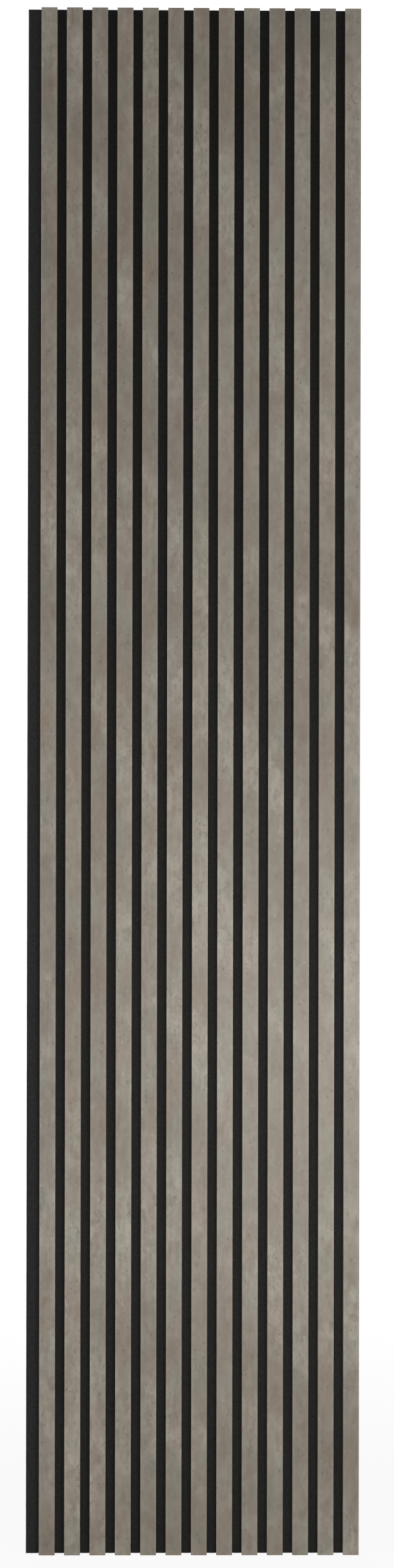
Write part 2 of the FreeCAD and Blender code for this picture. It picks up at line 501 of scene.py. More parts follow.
    def holes_and_dashes(
        self, tree: bpy.types.NodeTree, place: bpy.types.NodeSocket, pale: bpy.types.Node
    ) -> bpy.types.Node:
        """Adds ragged stains and air holes in clusters, and short dashes, most of all in pale cement.

        Args:
            tree: the material's tree.
            place: the point's place on the panel.
            pale: how far the pour there is the pale one, from 0 to 1.

        Returns:
            The node that gives how dark the marks are, from 0 to 1.
        """
        cluster = self.layer(tree, place, (0.040, 0.060), 0.0, 1.0, seed=7.7)
        cluster = add_node(tree, "ShaderNodeMath", {0: pale, 1: 0.12, 2: cluster}, operation="MULTIPLY_ADD")
        crowded = add_node(tree, "ShaderNodeMapRange", {"Value": cluster, "From Min": 0.46, "From Max": 0.68})
        stain = self.layer(tree, place, self.stain, 0.0, 2.0, bend=0.8, seed=3.3)
        stain = add_node(
            tree, "ShaderNodeMapRange", {"Value": stain, "From Min": 0.57, "From Max": 0.72, "To Max": 0.34}
        )
        stain = add_node(tree, "ShaderNodeMath", {0: stain, 1: crowded}, operation="MULTIPLY")
        ragged = self.pulled_about(tree, place, 3.0 * MM)
        rarity = add_node(tree, "ShaderNodeMath", {0: crowded, 1: -0.16, 2: 0.955}, operation="MULTIPLY_ADD")
        holes = self.spots(tree, ragged, self.hole_cell, (0.05, 0.34), rarity, seed=5.1)
        holes = add_node(tree, "ShaderNodeMath", {0: holes, 1: 0.75}, operation="MULTIPLY")
        dashes = self.spots(tree, ragged, self.dash_cell, (0.10, 0.45), 0.80, seed=8.9)
        pale_share = add_node(tree, "ShaderNodeMath", {0: pale, 1: 0.20, 2: 0.05}, operation="MULTIPLY_ADD")
        dashes = add_node(tree, "ShaderNodeMath", {0: dashes, 1: pale_share}, operation="MULTIPLY")
        marks = add_node(tree, "ShaderNodeMath", {0: holes, 1: dashes}, operation="MAXIMUM")
        return add_node(tree, "ShaderNodeMath", {0: marks, 1: stain}, operation="MAXIMUM")


@dataclass(frozen=True)
class SawnMdf:
    """Medium-density fibreboard, sawn to length and left bare.

    Steam-blown wood fibre pressed with resin: an even brown with paler fibre bundles and a dry,
    dusty surface without gloss.
    """

    fibre_dark: str = "#9A7D5C"
    fibre_pale: str = "#C4A784"
    bundle: float = 1.2 * MM
    roughness: float = 0.92

    def material(self) -> bpy.types.Material:
        """Builds the bare board's material."""
        material, tree = new_material("sawn bare MDF")
        place = add_node(tree, "ShaderNodeTexCoord").outputs["Object"]
        fibres = add_node(
            tree, "ShaderNodeTexNoise", {"Vector": place, "Scale": 1 / self.bundle, "Detail": 4.0, "Distortion": 0.8}
        )
        spread = add_node(tree, "ShaderNodeMapRange", {"Value": fibres, "From Min": 0.3, "From Max": 0.7})
        colour = add_node(
            tree,
            "ShaderNodeMix",
            {0: spread, MIX_COLOUR_A: linear(self.fibre_dark), MIX_COLOUR_B: linear(self.fibre_pale)},
            data_type="RGBA",
        ).outputs[MIX_COLOUR_RESULT]
        relief = add_node(tree, "ShaderNodeBump", {"Strength": 0.5, "Distance": 0.15 * MM, "Height": fibres})
        surface = add_node(
            tree,
            "ShaderNodeBsdfPrincipled",
            {"Base Color": colour, "Roughness": self.roughness, "Specular IOR Level": 0.3, "Normal": relief},
        )
        add_node(tree, "ShaderNodeOutputMaterial", {"Surface": surface})
        return material


@dataclass(frozen=True)
class NeedlePunchedFelt:
    """Felt of recycled polyester fibre, matted together by barbed needles.

    It gives the eye a soft near-black surface: charcoal with single grey fibres in it, no gloss,
    and a faint bloom where the fuzz is seen along the surface.
    """

    fibre_black: str = "#1B1A19"
    fibre_charcoal: str = "#343434"
    fibre_grey: str = "#707074"
    tuft: float = 2.6 * MM
    strand: tuple[float, float] = (0.55 * MM, 4.5 * MM)
    roughness: float = 0.72
    sheen: float = 0.07

    def material(self) -> bpy.types.Material:
        """Builds the felt's material."""
        material, tree = new_material("needle-punched polyester felt")
        place = add_node(tree, "ShaderNodeTexCoord").outputs["Object"]
        tufts = add_node(tree, "ShaderNodeTexNoise", {"Vector": place, "Scale": 1 / self.tuft, "Detail": 4.0})
        strands = [self.strand_layer(tree, place, turn) for turn in (20.0, 75.0, -40.0)]
        upper = add_node(tree, "ShaderNodeMath", {0: strands[0], 1: strands[1]}, operation="MAXIMUM")
        upper = add_node(tree, "ShaderNodeMath", {0: upper, 1: strands[2]}, operation="MAXIMUM")
        mixed = add_node(tree, "ShaderNodeMath", {0: tufts, 1: 0.6, 2: upper}, operation="MULTIPLY_ADD")
        depth = add_node(tree, "ShaderNodeMapRange", {"Value": mixed, "From Min": 0.75, "From Max": 1.15})
        dark = add_node(
            tree,
            "ShaderNodeMix",
            {0: depth, MIX_COLOUR_A: linear(self.fibre_black), MIX_COLOUR_B: linear(self.fibre_charcoal)},
            data_type="RGBA",
        ).outputs[MIX_COLOUR_RESULT]
        single = add_node(
            tree,
            "ShaderNodeMapRange",
            {"Value": upper, "From Min": 0.78, "From Max": 0.84, "To Max": 0.5},
            interpolation_type="SMOOTHSTEP",
        )
        colour = add_node(
            tree,
            "ShaderNodeMix",
            {0: single, MIX_COLOUR_A: dark, MIX_COLOUR_B: linear(self.fibre_grey)},
            data_type="RGBA",
        ).outputs[MIX_COLOUR_RESULT]
        relief = add_node(tree, "ShaderNodeBump", {"Strength": 0.8, "Distance": 0.5 * MM, "Height": mixed})
        surface = add_node(
            tree,
            "ShaderNodeBsdfPrincipled",
            {
                "Base Color": colour,
                "Roughness": self.roughness,
                "Specular IOR Level": 0.12,
                "Sheen Weight": self.sheen,
                "Sheen Roughness": 0.6,
                "Normal": relief,
            },
        )
        add_node(tree, "ShaderNodeOutputMaterial", {"Surface": surface})
        return material

    def strand_layer(self, tree: bpy.types.NodeTree, place: bpy.types.NodeSocket, turn: float) -> bpy.types.Node:
        """Adds strands that lie one way. Real fibre is 0.03 mm thick; these are drawn coarser to show.

        Args:
            tree: the material's tree.
            place: the point's place on the panel.
            turn: how far the strands are turned, degrees.

        Returns:
            The noise node that is high on a strand.
        """
        angle = math.radians(turn)
        lying = add_node(
            tree,
            "ShaderNodeMapping",
            {
                "Vector": place,
                "Location": (turn, turn, turn),
                "Rotation": (angle, angle, 0.5 * angle),
                "Scale": (self.strand[0], self.strand[0], self.strand[1]),
            },
            vector_type="TEXTURE",
        )
        return add_node(tree, "ShaderNodeTexNoise", {"Vector": lying, "Scale": 1.0, "Detail": 1.0, "Distortion": 0.4})


@dataclass(frozen=True)
class GalvanisedWire:
    """Zinc-coated steel wire, drawn and flattened for staples.

    A bluish light grey metal with a dull lustre, cloudy where the zinc has set, and drawn lines
    along the wire.
    """

    zinc: str = "#B4B8BB"
    zinc_dull: str = "#8D9194"
    cloud: float = 3.0 * MM
    roughness: tuple[float, float] = (0.30, 0.48)

    def material(self) -> bpy.types.Material:
        """Builds the wire's material."""
        material, tree = new_material("galvanised steel wire")
        place = add_node(tree, "ShaderNodeTexCoord").outputs["Object"]
        clouds = add_node(tree, "ShaderNodeTexNoise", {"Vector": place, "Scale": 1 / self.cloud, "Detail": 3.0})
        along = add_node(
            tree,
            "ShaderNodeMapping",
            {"Vector": place, "Scale": (4.0 * MM, 0.12 * MM, 0.12 * MM)},
            vector_type="TEXTURE",
        )
        lines = add_node(tree, "ShaderNodeTexNoise", {"Vector": along, "Scale": 1.0, "Detail": 1.0})
        colour = add_node(
            tree,
            "ShaderNodeMix",
            {0: clouds, MIX_COLOUR_A: linear(self.zinc), MIX_COLOUR_B: linear(self.zinc_dull)},
            data_type="RGBA",
        ).outputs[MIX_COLOUR_RESULT]
        gloss = add_node(
            tree,
            "ShaderNodeMapRange",
            {"Value": clouds, "From Min": 0.3, "From Max": 0.7, "To Min": self.roughness[0], "To Max": self.roughness[1]},
        )
        relief = add_node(tree, "ShaderNodeBump", {"Strength": 0.4, "Distance": 0.02 * MM, "Height": lines})
        surface = add_node(
            tree,
            "ShaderNodeBsdfPrincipled",
            {"Base Color": colour, "Metallic": 1.0, "Roughness": gloss, "Normal": relief},
        )
        add_node(tree, "ShaderNodeOutputMaterial", {"Surface": surface})
        return material


@dataclass
class SlatRow:
    """The thirteen bars: an MDF core with foil round its face, its sides and the rim of its back."""

    count: int = 13
    front_edge_radius: float = 0.8 * MM
    back_edge_radius: float = 0.3 * MM
    foil_thickness: float = 0.25 * MM
    foil_return: float = 5.0 * MM
    # how far the painted edge highlight reaches in from an edge
    highlight_reach: float = 3.0 * MM
    bake_lengths: int = 7
    steps_per_length: int = 4
    tone_seed: int = 4
    foil: ConcreteDecorFoil = field(default_factory=ConcreteDecorFoil)
    core: SawnMdf = field(default_factory=SawnMdf)

    def build(self) -> list[bpy.types.Object]:
        """Builds every bar where the part has its slat and dresses it.

        Returns:
            The bars, from left to right.
        """
        tree = self.bar_tree()
        foil, core = self.foil.material(), self.core.material()
        bars = []
        for number in range(1, self.count + 1):
            node = f"slat_{number:02d}"
            low, high = (Vector(corner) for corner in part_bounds(node))
            values = {
                "Width": high.x - low.x,
                "Thickness": high.y - low.y,
                "Length": high.z - low.z,
                "Front Edge Radius": self.front_edge_radius,
                "Back Edge Radius": self.back_edge_radius,
                "Foil Thickness": self.foil_thickness,
                "Foil Return": self.foil_return,
                "Highlight Reach": self.highlight_reach,
                "Points Along": self.bake_lengths * self.steps_per_length + 1,
                "Centre": (low + high) / 2,
                "Slat Number": number,
                "Tone Seed": self.tone_seed,
                "Foil": foil,
                "Core": core,
            }
            bar = grow(f"slat_bar_{number:02d}", tree, values)
            self.lay_out_for_baking(bar.data, low, high)
            fit_to_part(bar, node)
            bars.append(bar)
        return bars

    def bar_tree(self) -> bpy.types.NodeTree:
        """Builds the tree that draws one bar: an outline with rounded corners, swept along the length.

        Returns:
            The tree, with the bar's sizes, its place and its two materials as inputs.
        """
        tree, sizes = new_shape_tree(
            "wrapped slat bar",
            {
                "Width": "Float",
                "Thickness": "Float",
                "Length": "Float",
                "Front Edge Radius": "Float",
                "Back Edge Radius": "Float",
                "Foil Thickness": "Float",
                "Foil Return": "Float",
                "Highlight Reach": "Float",
                "Points Along": "Int",
                "Centre": "Vector",
                "Slat Number": "Int",
                "Tone Seed": "Int",
                "Foil": "Material",
                "Core": "Material",
            },
        )
        outline = self.bar_outline(tree, sizes)
        half = add_node(tree, "ShaderNodeMath", {0: sizes["Length"], 1: 0.5}, operation="MULTIPLY")
        minus_half = add_node(tree, "ShaderNodeMath", {0: sizes["Length"], 1: -0.5}, operation="MULTIPLY")
        bottom = add_node(tree, "ShaderNodeCombineXYZ", {"Z": minus_half})
        top = add_node(tree, "ShaderNodeCombineXYZ", {"Z": half})
        line = add_node(tree, "GeometryNodeCurvePrimitiveLine", {"Start": bottom, "End": top})
        path = add_node(tree, "GeometryNodeResampleCurve", {"Curve": line, "Count": sizes["Points Along"]})
        bar = add_node(
            tree, "GeometryNodeCurveToMesh", {"Curve": path, "Profile Curve": outline, "Fill Caps": True}
        )

        facing = add_node(tree, "ShaderNodeSeparateXYZ", {0: add_node(tree, "GeometryNodeInputNormal")})
        upright = add_node(tree, "ShaderNodeMath", {0: facing.outputs["Z"]}, operation="ABSOLUTE")
        is_end = add_node(tree, "FunctionNodeCompare", {"A": upright, "B": 0.5}, operation="GREATER_THAN")
        ends = add_node(
            tree,
            "GeometryNodeExtrudeMesh",
            {"Mesh": bar, "Selection": is_end, "Offset Scale": 0.0, "Individual": False},
        )
        rim = add_node(tree, "ShaderNodeMath", {0: sizes["Foil Thickness"], 1: 2.0}, operation="MULTIPLY")
        shares = []
        for side in ("Width", "Thickness"):
            lost = add_node(tree, "ShaderNodeMath", {0: rim, 1: sizes[side]}, operation="DIVIDE")
            shares.append(add_node(tree, "ShaderNodeMath", {0: 1.0, 1: lost}, operation="SUBTRACT"))
        inward = add_node(tree, "ShaderNodeCombineXYZ", {"X": shares[0], "Y": shares[1], "Z": 1.0})
        place = add_node(tree, "GeometryNodeInputPosition")
        inner = add_node(tree, "ShaderNodeVectorMath", {0: place, 1: inward}, operation="MULTIPLY")
        rimmed = add_node(
            tree,
            "GeometryNodeSetPosition",
            {"Geometry": ends.outputs["Mesh"], "Selection": ends.outputs["Top"], "Position": inner},
        )

        bare = self.bare_back(tree, sizes)
        core_faces = add_node(
            tree, "FunctionNodeBooleanMath", {0: ends.outputs["Top"], 1: bare}, operation="OR"
        )
        kept = add_node(
            tree,
            "GeometryNodeStoreNamedAttribute",
            {"Geometry": rimmed, "Name": "bare_core", "Value": core_faces},
            data_type="BOOLEAN",
            domain="FACE",
        )
        own_tone = add_node(
            tree,
            "FunctionNodeRandomValue",
            {"Min": -1.0, "Max": 1.0, "ID": sizes["Slat Number"], "Seed": sizes["Tone Seed"]},
        )
        toned = add_node(
            tree,
            "GeometryNodeStoreNamedAttribute",
            {"Geometry": kept, "Name": "slat_tone", "Value": own_tone.outputs[1]},
            data_type="FLOAT",
            domain="POINT",
        )
        # stores the mask of the painted edge highlight
        edged = add_node(
            tree,
            "GeometryNodeStoreNamedAttribute",
            {"Geometry": toned, "Name": "painted_edge_highlight", "Value": self.edge_highlight_mask(tree, sizes)},
            data_type="FLOAT",
            domain="POINT",
        )
        smooth = add_node(
            tree, "GeometryNodeSetShadeSmooth", {0: edged, "Shade Smooth": self.on_a_rounding(tree)}
        )
        moved = add_node(tree, "GeometryNodeTransform", {"Geometry": smooth, "Translation": sizes["Centre"]})
        real = add_node(tree, "GeometryNodeRealizeInstances", {"Geometry": moved})
        wrapped = add_node(tree, "GeometryNodeSetMaterial", {"Geometry": real, "Material": sizes["Foil"]})
        is_core = add_node(
            tree, "GeometryNodeInputNamedAttribute", {"Name": "bare_core"}, data_type="BOOLEAN"
        )
        dressed = add_node(
            tree,
            "GeometryNodeSetMaterial",
            {"Geometry": wrapped, "Selection": is_core, "Material": sizes["Core"]},
        )
        add_node(tree, "NodeGroupOutput", {"Geometry": dressed})
        return tree

    def bar_outline(self, tree: bpy.types.NodeTree, sizes: bpy.types.NodeOutputs) -> bpy.types.Node:
        """Adds the bar's cross-section, with a point on its back where the foil ends.

        The face has a point just as far in, where the painted edge highlight has faded out.

        Args:
            tree: the bar's tree.
            sizes: the tree's inputs.

        Returns:
            The node that gives the closed outline.
        """
        box = add_node(
            tree,
            "GeometryNodeCurvePrimitiveQuadrilateral",
            {"Width": sizes["Width"], "Height": sizes["Thickness"]},
        )
        thirds = add_node(tree, "GeometryNodeSubdivideCurve", {"Curve": box, "Cuts": 2})
        place = add_node(tree, "GeometryNodeInputPosition")
        axes = add_node(tree, "ShaderNodeSeparateXYZ", {0: place})
        across = add_node(tree, "ShaderNodeMath", {0: axes.outputs["X"], 1: sizes["Width"]}, operation="DIVIDE")
        across = add_node(tree, "ShaderNodeMath", {0: across}, operation="ABSOLUTE")
        back = add_node(tree, "ShaderNodeMath", {0: axes.outputs["Y"], 1: sizes["Thickness"]}, operation="DIVIDE")
        deep = add_node(tree, "ShaderNodeMath", {0: back}, operation="ABSOLUTE")
        at_side = add_node(tree, "FunctionNodeCompare", {"A": across, "B": 0.49}, operation="GREATER_THAN")
        at_face = add_node(tree, "FunctionNodeCompare", {"A": deep, "B": 0.49}, operation="GREATER_THAN")
        at_corner = add_node(tree, "FunctionNodeBooleanMath", {0: at_side, 1: at_face}, operation="AND")

        between = add_node(tree, "FunctionNodeBooleanMath", {0: at_face, 1: at_side}, operation="NIMPLY")
        share = add_node(tree, "ShaderNodeMath", {0: sizes["Foil Return"], 1: sizes["Width"]}, operation="DIVIDE")
        reach = add_node(tree, "ShaderNodeMath", {0: share, 1: -6.0, 2: 3.0}, operation="MULTIPLY_ADD")
        stretch = add_node(tree, "ShaderNodeCombineXYZ", {"X": reach, "Y": 1.0, "Z": 1.0})
        spread = add_node(tree, "ShaderNodeVectorMath", {0: place, 1: stretch}, operation="MULTIPLY")
        marked = add_node(
            tree, "GeometryNodeSetPosition", {"Geometry": thirds, "Selection": between, "Position": spread}
        )

        in_front = add_node(tree, "FunctionNodeCompare", {"A": back, "B": 0.0}, operation="LESS_THAN")
        radius = add_node(
            tree,
            "GeometryNodeSwitch",
            {0: in_front, 1: sizes["Back Edge Radius"], 2: sizes["Front Edge Radius"]},
            input_type="FLOAT",
        )
        rounding = add_node(tree, "ShaderNodeMath", {0: radius, 1: at_corner}, operation="MULTIPLY")
        return add_node(
            tree,
            "GeometryNodeFilletCurve",
            {"Curve": marked, "Radius": rounding, "Count": 4, "Limit Radius": True},
            mode="POLY",
        )

    def bare_back(self, tree: bpy.types.NodeTree, sizes: bpy.types.NodeOutputs) -> bpy.types.Node:
        """Finds the faces of the back, and of the end rims next to it, that no foil covers.

        Args:
            tree: the bar's tree.
            sizes: the tree's inputs.

        Returns:
            The node that is true on bare faces.
        """
        axes = add_node(tree, "ShaderNodeSeparateXYZ", {0: add_node(tree, "GeometryNodeInputPosition")})
        across = add_node(tree, "ShaderNodeMath", {0: axes.outputs["X"]}, operation="ABSOLUTE")
        covered = add_node(tree, "ShaderNodeMath", {0: sizes["Width"], 1: 0.5}, operation="MULTIPLY")
        covered = add_node(tree, "ShaderNodeMath", {0: covered, 1: sizes["Foil Return"]}, operation="SUBTRACT")
        between = add_node(tree, "FunctionNodeCompare", {"A": across, "B": covered}, operation="LESS_THAN")
        surface = add_node(tree, "ShaderNodeMath", {0: sizes["Thickness"], 1: 0.5}, operation="MULTIPLY")
        surface = add_node(tree, "ShaderNodeMath", {0: surface, 1: sizes["Foil Thickness"]}, operation="SUBTRACT")
        at_back = add_node(
            tree, "FunctionNodeCompare", {"A": axes.outputs["Y"], "B": surface}, operation="GREATER_THAN"
        )
        return add_node(tree, "FunctionNodeBooleanMath", {0: between, 1: at_back}, operation="AND")

    def edge_highlight_mask(self, tree: bpy.types.NodeTree, sizes: bpy.types.NodeOutputs) -> bpy.types.Node:
        """Measures how close a point is to one of the two long edges where face and side meet.

        Along these edges the print is made a little paler: a painted highlight, standing in for the light that the
        rounded edges catch.

        Args:
            tree: the bar's tree.
            sizes: the tree's inputs.

        Returns:
            The node that gives 1 at an edge and 0 beyond the painted highlight's reach.
        """
        axes = add_node(tree, "ShaderNodeSeparateXYZ", {0: add_node(tree, "GeometryNodeInputPosition")})
        across = add_node(tree, "ShaderNodeMath", {0: axes.outputs["X"]}, operation="ABSOLUTE")
        half = add_node(tree, "ShaderNodeMath", {0: sizes["Width"], 1: 0.5}, operation="MULTIPLY")
        from_side = add_node(tree, "ShaderNodeMath", {0: half, 1: across}, operation="SUBTRACT")
        from_face = add_node(
            tree, "ShaderNodeMath", {0: sizes["Thickness"], 1: 0.5, 2: axes.outputs["Y"]}, operation="MULTIPLY_ADD"
        )
        near = [
            add_node(
                tree,
                "ShaderNodeMapRange",
                {"Value": distance, "From Max": sizes["Highlight Reach"], "To Min": 1.0, "To Max": 0.0},
            )
            for distance in (from_side, from_face)
        ]
        return add_node(tree, "ShaderNodeMath", {0: near[0], 1: near[1]}, operation="MULTIPLY")

    def on_a_rounding(self, tree: bpy.types.NodeTree) -> bpy.types.Node:
        """Finds the faces of the rounded edges, which lie square to no axis.

        Args:
            tree: the bar's tree.

        Returns:
            The node that is true on them.
        """
        facing = add_node(
            tree, "ShaderNodeVectorMath", {0: add_node(tree, "GeometryNodeInputNormal")}, operation="ABSOLUTE"
        )
        axes = add_node(tree, "ShaderNodeSeparateXYZ", {0: facing})
        most = add_node(
            tree, "ShaderNodeMath", {0: axes.outputs["X"], 1: axes.outputs["Y"]}, operation="MAXIMUM"
        )
        most = add_node(tree, "ShaderNodeMath", {0: most, 1: axes.outputs["Z"]}, operation="MAXIMUM")
        return add_node(tree, "FunctionNodeCompare", {"A": most, "B": 0.999}, operation="LESS_THAN")

    def lay_out_for_baking(self, mesh: bpy.types.Mesh, low: Vector, high: Vector) -> None:
        """Gives a bar a UV map that cuts it into lengths and lays them side by side.

        A bar is a hundred times as long as it is wide, so one long strip would leave most of a
        square picture empty and the print blurred. The back, which nobody sees, gets a quarter of
        its width.

        Args:
            mesh: the bar's mesh.
            low: the bar's lowest corner.
            high: its highest corner.
        """
        size = high - low
        margin = 1.0 * MM
        length = size.z / self.bake_lengths
        strip = size.x * 1.25 + size.y * 2 + margin * 2
        page = max(strip * self.bake_lengths, length + size.y + margin * 3)

        count = len(mesh.polygons)
        normals, centres = np.empty(count * 3), np.empty(count * 3)
        corners, indices = np.empty(count, int), np.empty(len(mesh.loops), int)
        points = np.empty(len(mesh.vertices) * 3)
        mesh.polygons.foreach_get("normal", normals)
        mesh.polygons.foreach_get("center", centres)
        mesh.polygons.foreach_get("loop_total", corners)
        mesh.loops.foreach_get("vertex_index", indices)
        mesh.vertices.foreach_get("co", points)
        facing = np.repeat(normals.reshape(-1, 3), corners, axis=0)
        height = np.repeat(centres.reshape(-1, 3)[:, 2], corners)
        x, y, z = (points.reshape(-1, 3)[indices] - np.array(low)).T

        part = np.clip(((height - low.z) / length).astype(int), 0, self.bake_lengths - 1)
        sideways = np.abs(facing[:, 0]) > np.abs(facing[:, 1])
        around = np.select(
            [sideways & (facing[:, 0] < 0), sideways, facing[:, 1] < 0],
            [size.y - y, size.y + size.x + y, size.y + x],
            size.y * 2 + size.x + margin + (size.x - x) / 4,
        )
        at_end = np.abs(facing[:, 2]) > 0.7
        end_column = np.where(facing[:, 2] > 0, size.x + margin * 2, 0.0)
        across = np.where(at_end, end_column + x, part * strip + around)
        along = np.where(at_end, length + margin + y, z - part * length)
        layout = np.stack([across + margin / 2, along + margin / 2], axis=1) / page
        mesh.uv_layers.new(name=BAKE_MAP).data.foreach_set("uv", layout.ravel())


@dataclass
class FeltBacking:
    """The felt sheet: pressed flat under the slats, swelling between them, pulled in by the staples."""

    staple_columns: int = 13
    staple_rows: int = 8
    slat_count: int = 13
    edge_radius: float = 1.0 * MM
    swell: float = 0.35 * MM
    unevenness: float = 0.12 * MM
    ragged_cut: float = 0.25 * MM
    crown_half: float = 6.4 * MM
    dimple_floor: float = 0.7 * MM
    dimple_reach: float = 4.2 * MM
    dimple_depth: float = 1.12 * MM
    row_pitch: float = 15.0 * MM
    finish: NeedlePunchedFelt = field(default_factory=NeedlePunchedFelt)

    def build(self) -> list[bpy.types.Object]:
        """Builds the sheet and the loose fibres along its cut edges.

        Returns:
            The sheet and its fibres.
        """
        material = self.finish.material()
        low, high = (Vector(corner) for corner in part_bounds("felt_backing"))
        sheet = self.sheet(low, high)
        sheet.data.materials.append(material)
        fit_to_part(sheet, "felt_backing")
        fibres = EdgeFibres().build(low, high, material)
        return [sheet, fibres]

    def staple_places(self) -> tuple[np.ndarray, np.ndarray]:
        """Works out where the staples' crowns are.

        Returns:
            The x of every column and the z of every row.
        """
        low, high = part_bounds("staples")
        wire = StapleSet.wire_width
        columns = np.linspace(low[0] + self.crown_half, high[0] - self.crown_half, self.staple_columns)
        rows = np.linspace(low[2] + wire / 2, high[2] - wire / 2, self.staple_rows)
        return columns, rows

    def grid_lines(self, low: Vector, high: Vector) -> tuple[np.ndarray, np.ndarray]:
        """Chooses where the sheet's mesh has points: close together at staples and gaps.

        Args:
            low: the sheet's lowest corner.
            high: its highest corner.

        Returns:
            The x of every column of points and the z of every row.
        """
        columns, rows = self.staple_places()
        xs = [low.x + self.edge_radius, high.x - self.edge_radius]
        xs += list(np.linspace(low.x + 3 * MM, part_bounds("slat_01")[0][0], 5))
        for x in columns:
            xs += [x + step * MM for step in (-6.9, -4.0, 0.0, 4.0, 6.9, 9.5)]
        for number in range(1, self.slat_count + 1):
            slat_low, slat_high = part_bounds(f"slat_{number:02d}")
            xs += [slat_low[0], slat_high[0]]
            xs += [slat_high[0] + step * MM for step in (3.75, 7.5, 11.25)]
        zs = [low.z + self.edge_radius, high.z - self.edge_radius]
        for z in rows:
            zs += [z + step * MM for step in (-4.5, -2.2, -0.7, 0.0, 0.7, 2.2, 4.5)]
        ends = [low.z + self.edge_radius, *rows, high.z - self.edge_radius]
        for start, stop in zip(ends, ends[1:]):
            steps = max(2, round((stop - start) / self.row_pitch))
            zs += [z for z in np.linspace(start, stop, steps + 1)[1:-1] if min(abs(rows - z)) > 6 * MM]
        return self.inside(xs, low.x, high.x), self.inside(zs, low.z, high.z)

    def inside(self, lines: list[float], start: float, stop: float) -> np.ndarray:
        """Sorts lines and drops those beyond the flat of the sheet or on top of another.

        Args:
            lines: the places of the lines.
            start: where the sheet starts.
            stop: where it stops.

        Returns:
            The lines that stay.
        """
        first, last = start + self.edge_radius, stop - self.edge_radius
        ordered = [x for x in sorted(lines) if first - 1e-7 <= x <= last + 1e-7]
        kept = [ordered[0]]
        for x in ordered[1:]:
            if x - kept[-1] > 0.4 * MM:
                kept.append(x)
        kept[-1] = last
        return np.array(kept)

    def front_swell(self, x: float) -> float:
        """Gives how far the felt rises out of the gap at one place.

        Args:
            x: the place across the panel.

        Returns:
            The rise, 0 under a slat.
        """
        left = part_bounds("slat_01")[0][0]
        if x < left:
            return self.swell * min(1.0, (left - x) / (6 * MM))
        for number in range(1, self.slat_count):
            start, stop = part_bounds(f"slat_{number:02d}")[1][0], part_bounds(f"slat_{number + 1:02d}")[0][0]
            if start < x < stop:
                return self.swell * math.sin(math.pi * (x - start) / (stop - start))
        return 0.0

    def dimple(self, x: np.ndarray, z: np.ndarray) -> np.ndarray:
        """Gives how far the staples pull the back of the felt in.

        Args:
            x: the places across the panel.
            z: their heights.

        Returns:
            The depth at each place.
        """
        columns, rows = self.staple_places()
        beside = np.maximum(np.min(np.abs(x[:, None] - columns), axis=1) - self.crown_half, 0)
        above = np.min(np.abs(z[:, None] - rows), axis=1)
        away = np.hypot(beside, above)
        share = np.clip((self.dimple_reach - away) / (self.dimple_reach - self.dimple_floor), 0, 1)
        return self.dimple_depth * share * share * (3 - 2 * share)

    def sheet(self, low: Vector, high: Vector) -> bpy.types.Object:
        """Builds the felt as one closed mesh: a front, a back and a rounded, ragged cut edge.

        Args:
            low: the sheet's lowest corner.
            high: its highest corner.

        Returns:
            The sheet.
        """
        xs, zs = self.grid_lines(low, high)
        across, along = len(xs), len(zs)
        x, z = (grid.ravel() for grid in np.meshgrid(xs, zs))
        rough = np.array([noise.noise(Vector((a, b, 0.0)) / (9 * MM)) for a, b in zip(x, z)])
        rise = np.interp(x, xs, [self.front_swell(value) for value in xs])
        front_y = low.y - rise * (1 + 0.3 * rough) - (rise > 0) * self.unevenness * (0.5 + 0.5 * rough)
        back_y = high.y - self.dimple(x, z) - self.unevenness * (0.5 + 0.5 * rough)
        front = np.stack([x, front_y, z], axis=1)
        back = np.stack([x, back_y, z], axis=1)

        rim = np.array(
            [column for column in range(across)]
            + [row * across + across - 1 for row in range(1, along)]
            + [(along - 1) * across + column for column in range(across - 2, -1, -1)]
            + [row * across for row in range(along - 2, 0, -1)]
        )
        outward = np.stack([np.sign(x[rim] - xs[0]) + np.sign(x[rim] - xs[-1]), np.zeros(len(rim)),
                            np.sign(z[rim] - zs[0]) + np.sign(z[rim] - zs[-1])], axis=1)
        outward = np.sign(outward) * (np.abs(outward) < 1.5)
        outward = self.outward(x[rim], z[rim], xs, zs)
        rings = []
        depth = high.y - low.y
        for out, share, near in self.edge_section():
            ring = front[rim].copy()
            ragged = np.array(
                [noise.noise(Vector((p[0], share * depth * 2, p[2])) / (2.5 * MM)) for p in ring]
            )
            reach = self.edge_radius * out - self.ragged_cut * (0.5 + 0.5 * ragged) * (out > 0.9)
            ring += outward * reach[:, None]
            ring[:, 1] = front[rim][:, 1] * (1 - share) + back[rim][:, 1] * share
            ring[:, 1] += near
            rings.append(ring)

        points = np.concatenate([front, back, *rings])
        faces = []
        for row in range(along - 1):
            for column in range(across - 1):
                a = row * across + column
                b, c, d = a + 1, a + across + 1, a + across
                faces.append((a, b, c, d))
                faces.append(tuple(i + across * along for i in (d, c, b, a)))
        loops = [rim, *(np.arange(len(rim)) + 2 * across * along + i * len(rim) for i in range(len(rings)))]
        loops.append(rim + across * along)
        for ring, after in zip(loops, loops[1:]):
            for i in range(len(rim)):
                j = (i + 1) % len(rim)
                faces.append((ring[j], ring[i], after[i], after[j]))
        mesh = bpy.data.meshes.new("felt_sheet")
        mesh.from_pydata(points.tolist(), [], [tuple(int(i) for i in face) for face in faces])
        mesh.shade_smooth()
        sheet = bpy.data.objects.new("felt_sheet", mesh)
        bpy.context.scene.collection.objects.link(sheet)
        return sheet

